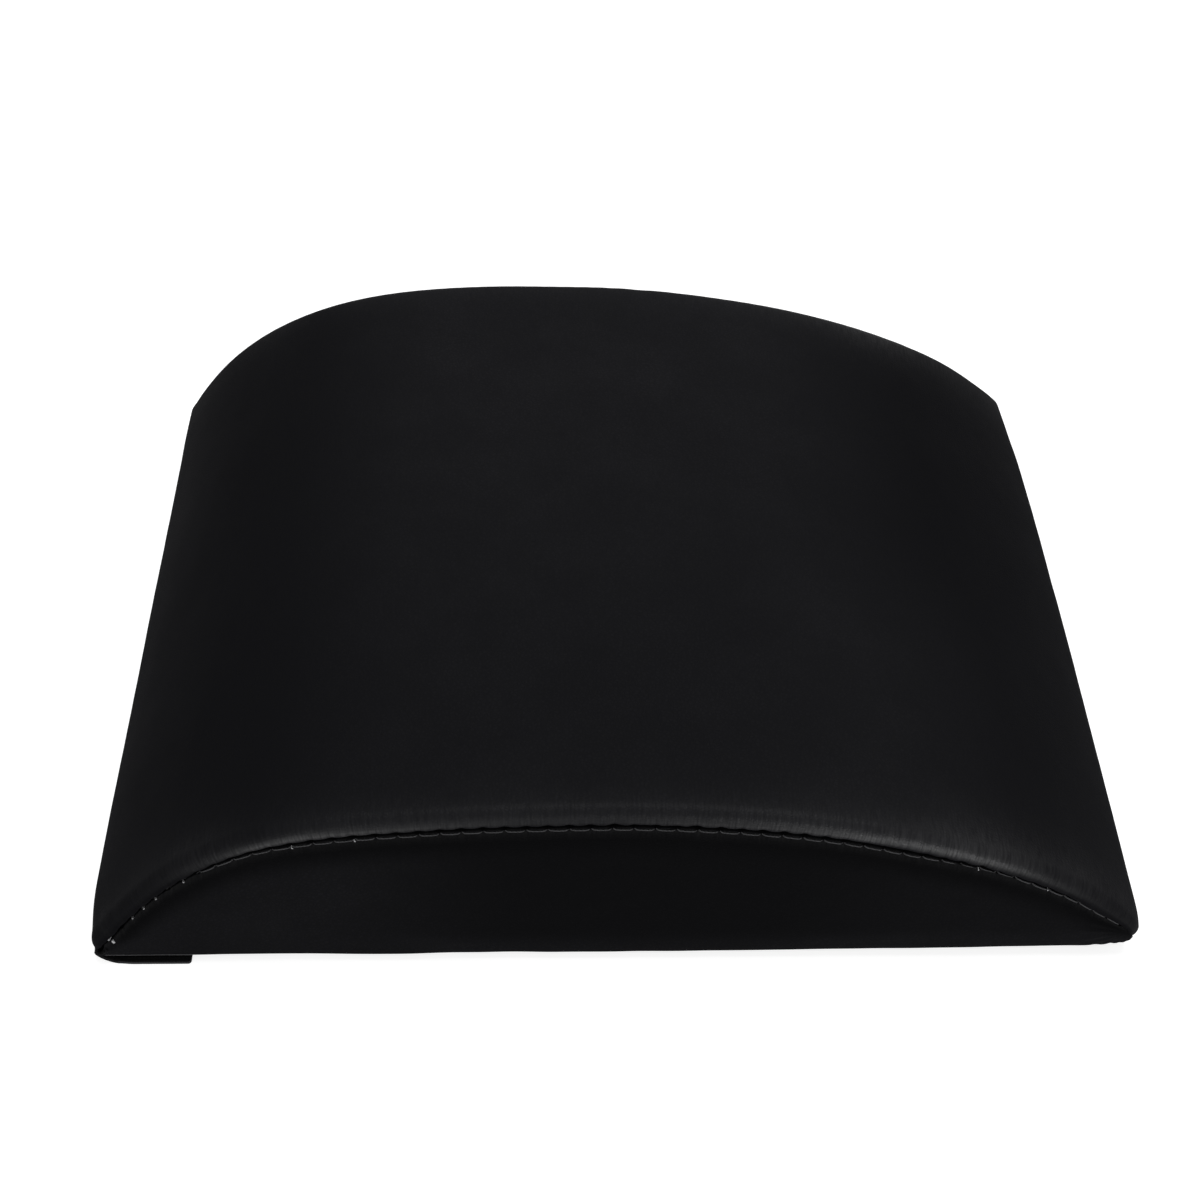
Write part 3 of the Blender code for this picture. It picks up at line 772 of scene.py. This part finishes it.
# %% [markdown]
# ## Hook and loop
# The flap's strip of hooks grips a strip of loops under the base. The tape is a thin woven plate.
# Real hooks stand 1.2 mm apart. Here they are 2 mm apart, with few faces each, so that thousands
# stay light. A hook rises and bends over, and a loop is an arch with a random turn.

# %% Make the tapes
STRIP_START, STRIP_END = -0.174, -0.158
STRIP_Y = 0.1334
TAPE = 0.00045


def tape(name, z, up):
    """A flat plate, whose edges are woven a little thicker than its middle."""
    x = np.linspace(STRIP_START, STRIP_END, 17)
    y = np.linspace(-STRIP_Y, STRIP_Y, 135)
    gx, gy = np.meshgrid(x, y)
    edge = smooth(np.abs(gx - (STRIP_START + STRIP_END) / 2), 0.0064, 0.0078)
    outer = np.stack([gx, gy, z + up * (TAPE + 0.0001 * edge)], -1)
    inner = np.stack([gx, gy, z + 0 * gx], -1)
    return make_sheet(name, outer, inner, outer[..., :2])


def joined(name, parts):
    """One object from several, with the first one's name."""
    with bpy.context.temp_override(active_object=parts[0], selected_editable_objects=parts):
        bpy.ops.object.join()
    parts[0].name = name
    return parts[0]


def spread(spacing, seed, jitter):
    """Places over a strip on a square grid, each moved a little at random; and the generator."""
    random = np.random.default_rng(seed)
    x = np.arange(STRIP_START + 0.0022, STRIP_END - 0.0018, spacing)
    y = np.arange(-STRIP_Y + 0.002, STRIP_Y - 0.0018, spacing)
    places = np.stack(np.meshgrid(x, y), -1).reshape(-1, 2)
    places += random.uniform(-jitter, jitter, places.shape)
    return np.pad(places, ((0, 0), (0, 1)))[:, None], random


HOOK_PATH = np.array([(0, 0, 0), (0, 0, 0.0003), (0.00006, 0, 0.00042), (0.00022, 0, 0.00050),
                      (0.00036, 0, 0.00042), (0.00038, 0, 0.00032)])
hook_base = LEATHER + 0.00008
hook_at, _ = spread(0.0020, 61, 0.00008)
hooks = tubes("hooks", hook_at + HOOK_PATH + (0, 0, hook_base + TAPE), 0.00011, sides=4)
hook_tape = joined("hook_tape", [tape("hook_tape", hook_base, 1), hooks])

loop_top = PLATEAU - 0.00005
loop_at, random = spread(0.0016, 62, 0.0005)
t = np.linspace(0, math.pi, 6)
turn = random.uniform(0, 2 * math.pi, len(loop_at))[:, None]
wide = random.uniform(0.0004, 0.0007, len(loop_at))[:, None] * np.cos(t)
arch = np.broadcast_to(loop_top - TAPE + 0.0001 - 0.00062 * np.sin(t), wide.shape)
loop_paths = loop_at + np.stack([wide * np.cos(turn), wide * np.sin(turn), arch], -1)
loops = tubes("loops", loop_paths, 0.00007, sides=4)
loop_tape = joined("loop_tape", [tape("loop_tape", loop_top, -1), loops])

# %% [markdown]
# ## Finishes: shared tools
# Colours are written as sRGB hex values, as a paint program shows them, and turned to the linear
# values that Blender computes with. One small function adds a node, sets it and links it. Others
# name what comes up again: a product, a range, a noise, a bump and a mix.

# %% Colours and nodes
def linear(code):
    """sRGB to linear: c / 12.92 up to 0.04045, and ((c + 0.055) / 1.055) ^ 2.4 above."""
    srgb = np.array([int(code[i:i + 2], 16) for i in (1, 3, 5)]) / 255
    rgb = np.where(srgb <= 0.04045, srgb / 12.92, ((srgb + 0.055) / 1.055) ** 2.4)
    return (*rgb.tolist(), 1.0)


def add(tree, kind, settings=None, links=None):
    """A node of that kind. A setting names a socket or a property; a link feeds a socket."""
    node = tree.nodes.new("ShaderNode" + kind)
    for key, value in (settings or {}).items():
        if isinstance(key, str) and hasattr(node, key):
            setattr(node, key, value)
        else:
            node.inputs[key].default_value = value
    for key, socket in (links or {}).items():
        tree.links.new(socket, node.inputs[key])
    return node


def times(tree, a, b):
    """The product of two sockets."""
    return add(tree, "Math", {"operation": "MULTIPLY"}, {0: a, 1: b}).outputs[0]


def span(tree, value, start, stop, low, high):
    """Low where the value is start, high where it is stop, in between on a line, else clamped."""
    ends = {"From Min": start, "From Max": stop, "To Min": low, "To Max": high}
    return add(tree, "MapRange", ends, {"Value": value}).outputs["Result"]


def noise(tree, vector, scale, detail, roughness=0.5, distortion=0.0):
    """A cloudy factor round a half."""
    settings = {"Scale": scale, "Detail": detail, "Roughness": roughness, "Distortion": distortion}
    return add(tree, "TexNoise", settings, {"Vector": vector}).outputs["Fac"]


def bump(tree, height, strength, distance):
    """A node whose normal leans as if the surface rose by the height times the distance."""
    return add(tree, "Bump", {"Strength": strength, "Distance": distance}, {"Height": height})


def mix(tree, share, dark, light):
    """A colour from the dark one to the light one."""
    colours = {"data_type": "RGBA", 6: linear(dark), 7: linear(light)}
    return add(tree, "Mix", colours, {0: share}).outputs[2]


def new_material(name, roughness, specular):
    """A material with its constants on the shader's own sockets, its node tree and its shader."""
    material = bpy.data.materials.new(name)
    material.use_nodes = True
    tree = material.node_tree
    shader = tree.nodes["Principled BSDF"]
    shader.inputs["Roughness"].default_value = roughness
    shader.inputs["Specular IOR Level"].default_value = specular
    return material, tree, shader


def two_tone(name, roughness, specular, pattern, dark, light, strength, distance):
    """A material whose pattern drives the colour from dark to light, and the bump."""
    material, tree, shader = new_material(name, roughness, specular)
    factor = pattern(tree)
    tree.links.new(mix(tree, factor, dark, light), shader.inputs["Base Color"])
    relief = bump(tree, factor, strength, distance)
    tree.links.new(relief.outputs["Normal"], shader.inputs["Normal"])
    return material


# %% [markdown]
# ## PU leather
# The cover is polyurethane leather: a knitted backing with a plastic skin, embossed with a fine
# pebble grain. To the eye it is a matt black, a little dusty where rubbing wears the high grain.
# Its lighter colour also holds painted light and shade, laid on by the second mark. Real grain is
# about 0.6 mm across. It is drawn at 1.4 mm, because finer grain vanishes at this picture's size.
# The shine is a clear coat. The tight mark is its weight, and gathers across the roll break it
# into streaks.

# %% Make the leather
GRAIN = 0.0014
GATHERS = (1300.0, 150.0, 1.0)


def pu_leather(name, clean_and_shaded, rubbed_and_lit, matt, coat):
    """Grain from Voronoi cells. The marks say where it is lighter, from rubbing and painted light,
    and where it shines.
    """
    material, tree, shader = new_material(name, matt, 0.03)
    place = add(tree, "UVMap", {"uv_map": "flat"}).outputs["UV"]
    tight, worn = (add(tree, "Attribute", {"attribute_name": mark}).outputs["Fac"]
                   for mark in ("tight", "worn"))
    warp = add(tree, "TexNoise", {"Scale": 320.0, "Detail": 3.0}, {"Vector": place})
    warped = add(tree, "VectorMath", {"operation": "MULTIPLY_ADD", 1: (0.0006,) * 3},
                 {0: warp.outputs["Color"], 2: place})
    cells = add(tree, "TexVoronoi", {"feature": "DISTANCE_TO_EDGE", "Scale": 1 / GRAIN},
                {"Vector": warped.outputs[0]})
    pebble = add(tree, "MapRange", {"From Max": 0.35, "interpolation_type": "SMOOTHSTEP"},
                 {"Value": cells.outputs["Distance"]}).outputs["Result"]
    broad = noise(tree, place, 28.0, 5.0, 0.6)
    crease = noise(tree, place, 95.0, 6.0, 0.65, 0.4)
    stretched = add(tree, "Mapping", {"Scale": GATHERS}, {"Vector": place})
    gather = noise(tree, stretched.outputs["Vector"], 1.0, 2.0)

    patches = span(tree, broad, 0.40, 0.66, 0.72, 1)
    # The lighter colour is rubbing on the high grain and painted light, scaled by the second mark.
    rub_and_light = times(tree, times(tree, patches, span(tree, pebble, 0, 1, 0.65, 1)), worn)
    gloss = add(tree, "Math", {"operation": "MULTIPLY_ADD", 1: 0.12, 2: matt}, {0: broad})
    shine = times(tree, tight, span(tree, gather, 0.30, 0.70, 0.55 * coat, 1.45 * coat))

    height = add(tree, "Math", {"operation": "MULTIPLY_ADD", 1: 0.35},
                 {0: noise(tree, place, 2600.0, 2.0), 2: pebble})
    grain = bump(tree, height.outputs[0], 0.5, 0.00010)
    folds = bump(tree, crease, 0.18, 0.0008)
    gathers = bump(tree, gather, 1, 0.00030)
    for below, above in ((grain, folds), (folds, gathers)):
        tree.links.new(below.outputs["Normal"], above.inputs["Normal"])
    tree.links.new(tight, gathers.inputs["Strength"])
    for socket, source in (("Base Color", mix(tree, rub_and_light, clean_and_shaded, rubbed_and_lit)),
                           ("Roughness", gloss.outputs[0]), ("Coat Weight", shine),
                           ("Normal", gathers.outputs["Normal"]),
                           ("Coat Normal", gathers.outputs["Normal"])):
        tree.links.new(source, shader.inputs[socket])
    shader.inputs["Coat Roughness"].default_value = 0.40
    return material


top_leather = pu_leather("pu_leather_top", "#0e0e10", "#1f1f21", 0.88, 1.0)
# Painted shade: the ends are a darker copy of the same leather, for faces that get less light.
end_leather = pu_leather("pu_leather_ends_painted_shade", "#070708", "#19191b", 0.88, 0.06)
base_leather = pu_leather("pu_leather_underside", "#0f0f10", "#151516", 0.80, 0.0)
print("leather finishes:", top_leather.name, end_leather.name, base_leather.name)

# %% [markdown]
# ## The leather's back and its cut edge
# Behind the plastic skin is a knitted polyester backing, black and matt, and drawn darker still as
# painted shade for the gap over the flap. It shows inside the flap, and as a lighter line wherever
# the leather is cut. A wave texture in two directions gives its ribs, 1.4 mm apart. At scale 1 its
# bands are a twentieth of a full turn apart.

# %% Make the backing
BAND = 2 * math.pi / 20


def knitted(name, dark, light, rib):
    """Two crossed sine waves make ribs."""
    def ribs(tree):
        place = add(tree, "UVMap", {"uv_map": "flat"}).outputs["UV"]
        return times(tree, *(
            add(tree, "TexWave", {"bands_direction": way, "Scale": BAND / rib, "Distortion": 1.2,
                                  "Detail": 2.0, "Detail Scale": 3.0},
                {"Vector": place}).outputs["Fac"] for way in ("X", "Y")))
    return two_tone(name, 0.9, 0.1, ribs, dark, light, 0.6, 0.0003)


# Painted shade: the backing is drawn darker than the fabric, for the shaded gap over the flap.
backing = knitted("knitted_polyester_backing", "#070708", "#0e0e0f", 0.0014)
cut_edge = knitted("cut_pu_leather_edge", "#2a2a2c", "#3c3c3e", 0.0009)
# Painted highlight: this light grey stands in for light catching the fold of the hem.
fold_highlight = knitted("pu_leather_fold_painted_highlight", "#6c6c6e", "#909092", 0.0009)
tape_weave = knitted("woven_nylon_tape", "#121213", "#242426", 0.0007)

# %% [markdown]
# ## Thread and foam
# The thread is bonded polyester. The twist of its three plies shows as slanting bands. The foam is
# cut polyurethane: open cells about 1 mm across, with thin walls that catch the light.

# %% Make thread and foam
def twist(tree):
    """Slanting bands from a wave on Object coordinates: the plies' twist."""
    place = add(tree, "TexCoord").outputs["Object"]
    return add(tree, "TexWave", {"bands_direction": "DIAGONAL", "Scale": 420.0},
               {"Vector": place}).outputs["Fac"]


def open_cells(tree):
    """Voronoi cells in space: their walls stand up and are painted light, and their hollows are
    painted shade.
    """
    place = add(tree, "TexCoord").outputs["Object"]
    cells = add(tree, "TexVoronoi", {"feature": "DISTANCE_TO_EDGE", "Scale": 900.0},
                {"Vector": place})
    return span(tree, cells.outputs["Distance"], 0, 0.3, 1, 0)


# Painted glint: the light grey of the bar tacks and the knots stands in for glints on dark thread.
thread, glint_thread = (
    two_tone(name, 0.55, 0.25, twist, dark, light, 0.5, 0.0001) for name, dark, light in (
        ("bonded_polyester_thread", "#222223", "#363638"),
        ("bar_tack_thread_painted_glint", "#8a8a8c", "#c8c8ca")))
firm_foam, soft_foam = (
    two_tone(name, 0.95, 0.1, open_cells, dark, light, 0.8, 0.0006) for name, dark, light in (
        ("firm_polyurethane_foam", "#3a3a3c", "#5d5d60"),
        ("soft_polyurethane_foam", "#a99f82", "#d9d2b8")))

# %% [markdown]
# ## Each piece gets its finishes and rides on the frame
# A sheet has a finish each for its outside, inside and rim, and an end panel one more for the
# folded edge over the flap, a light grey painted highlight. The frame has two bodies, the mat and
# the flap that peels away from it.
# Each piece replaces one CAD node. The flap rides on neither body: its place is baked into its
# points.

# %% Dress the frame
cut_sheet = (backing, cut_edge)
for piece, body, slot, node, finishes in (
    (cover, "mat", "cover_leather", "top_panel", (top_leather, *cut_sheet)),
    (front_end, "mat", "end_leather", "front_end_panel", (end_leather, *cut_sheet, fold_highlight)),
    (rear_end, "mat", "end_leather", "rear_end_panel", (end_leather, *cut_sheet, fold_highlight)),
    (base, "mat", "base_leather", "base_panel", (base_leather, *cut_sheet)),
    (foam_slab, "mat", "firm_foam", "foam_base", (firm_foam,) * 3),
    (foam_arch, "mat", "soft_foam", "foam_dome", (soft_foam,) * 3),
    (loop_tape, "mat", "loop_tape", "loop_strip", (tape_weave,) * 3),
    (front_stitches, "mat", "thread", "front_topstitch", (thread, glint_thread)),
    (rear_stitches, "mat", "thread", "rear_topstitch", (thread, glint_thread)),
    (front_tack, "mat", "thread", "front_bar_tack", (glint_thread,)),
    (rear_tack, "mat", "thread", "rear_bar_tack", (glint_thread,)),
    (hook_tape, "flap", "hook_tape", "hook_strip", (tape_weave,) * 3),
    (flap, "both", "flap_leather", "closing_flap", (base_leather, *cut_sheet)),
):
    for finish in finishes:
        piece.data.materials.append(finish)
    if piece is flap:
        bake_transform(flap)
    else:
        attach(piece, body)
    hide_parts(node)
    print(f"{piece.name} on {body}: {', '.join(f.name for f in finishes)}")

# %% [markdown]
# ## Floor and light
# The photograph has a white ground. The floor is pale, and for rays from the camera it glows just
# enough to read as white where nothing shades it. A wide soft lamp hangs above, a little to the
# right and behind. Three small ones stand low in front and shine on the end panel and the roll, and
# the sky fills the rest.

# %% Lay the floor
FLOOR_HALF = 4.0
FLOOR_GLOW = 0.80
corners = FLOOR_HALF * np.array([(-1, -1, 0), (1, -1, 0), (1, 1, 0), (-1, 1, 0)])
floor = make_piece("floor", corners, [(0, 1, 2, 3)], [0])


def seen_directly(tree):
    """1 for camera, glossy and transmission rays, and 0 for light that a matt surface gathers."""
    path = add(tree, "LightPath").outputs
    seen = path["Is Camera Ray"]
    for kind in ("Is Glossy Ray", "Is Transmission Ray"):
        seen = add(tree, "Math", {"operation": "MAXIMUM"}, {0: seen, 1: path[kind]}).outputs[0]
    return seen


paper = bpy.data.materials.new("white_paper_floor")
paper.use_nodes = True
tree = paper.node_tree
tree.nodes.remove(tree.nodes["Principled BSDF"])
matt = add(tree, "BsdfDiffuse", {"Color": linear("#c8c8c8")})
share = add(tree, "Math", {"operation": "MULTIPLY", 1: FLOOR_GLOW}, {0: seen_directly(tree)})
glow = add(tree, "Emission", {"Color": (1, 1, 1, 1)}, {"Strength": share.outputs[0]})
both = add(tree, "AddShader", None, {0: matt.outputs[0], 1: glow.outputs[0]})
tree.links.new(both.outputs[0], tree.nodes["Material Output"].inputs["Surface"])
floor.data.materials.append(paper)

# %% Light the mat
SKY_LIGHT = 0.32
world = bpy.context.scene.world or bpy.data.worlds.new("world")
bpy.context.scene.world = world
world.use_nodes = True
tree = world.node_tree
sky = tree.nodes["Background"]
sky.inputs["Color"].default_value = (1, 1, 1, 1)
tree.links.new(span(tree, seen_directly(tree), 0, 1, SKY_LIGHT, 1), sky.inputs["Strength"])


def softbox(name, place, aim, size, power):
    """A square area lamp at a place, turned to face a point. Its -Z looks along the aim."""
    data = bpy.data.lights.new(name, "AREA")
    data.shape, data.size, data.energy = "SQUARE", size, power
    ahead = unit(np.array(aim, float) - place)
    side = unit(np.cross(ahead, [0.0, 1.0, 0.1]))
    place_object(name, data, (side, np.cross(side, ahead), -ahead), place)
    print(f"{name}: {power} W at {place}")


softbox("overhead_softbox", (0.20, 0.10, 1.70), (0, 0, 0), 1.0, 16)
softbox("left_softbox", (-0.85, -1.60, 0.26), (0, 0, 0.04), 0.45, 4.0)
softbox("right_softbox", (0.85, -1.60, 0.26), (0, 0, 0.04), 0.45, 6.5)
softbox("front_softbox", (0.00, -1.80, 0.26), (0, 0, 0.04), 0.45, 2.5)
bpy.context.scene.view_settings.view_transform = "Standard"
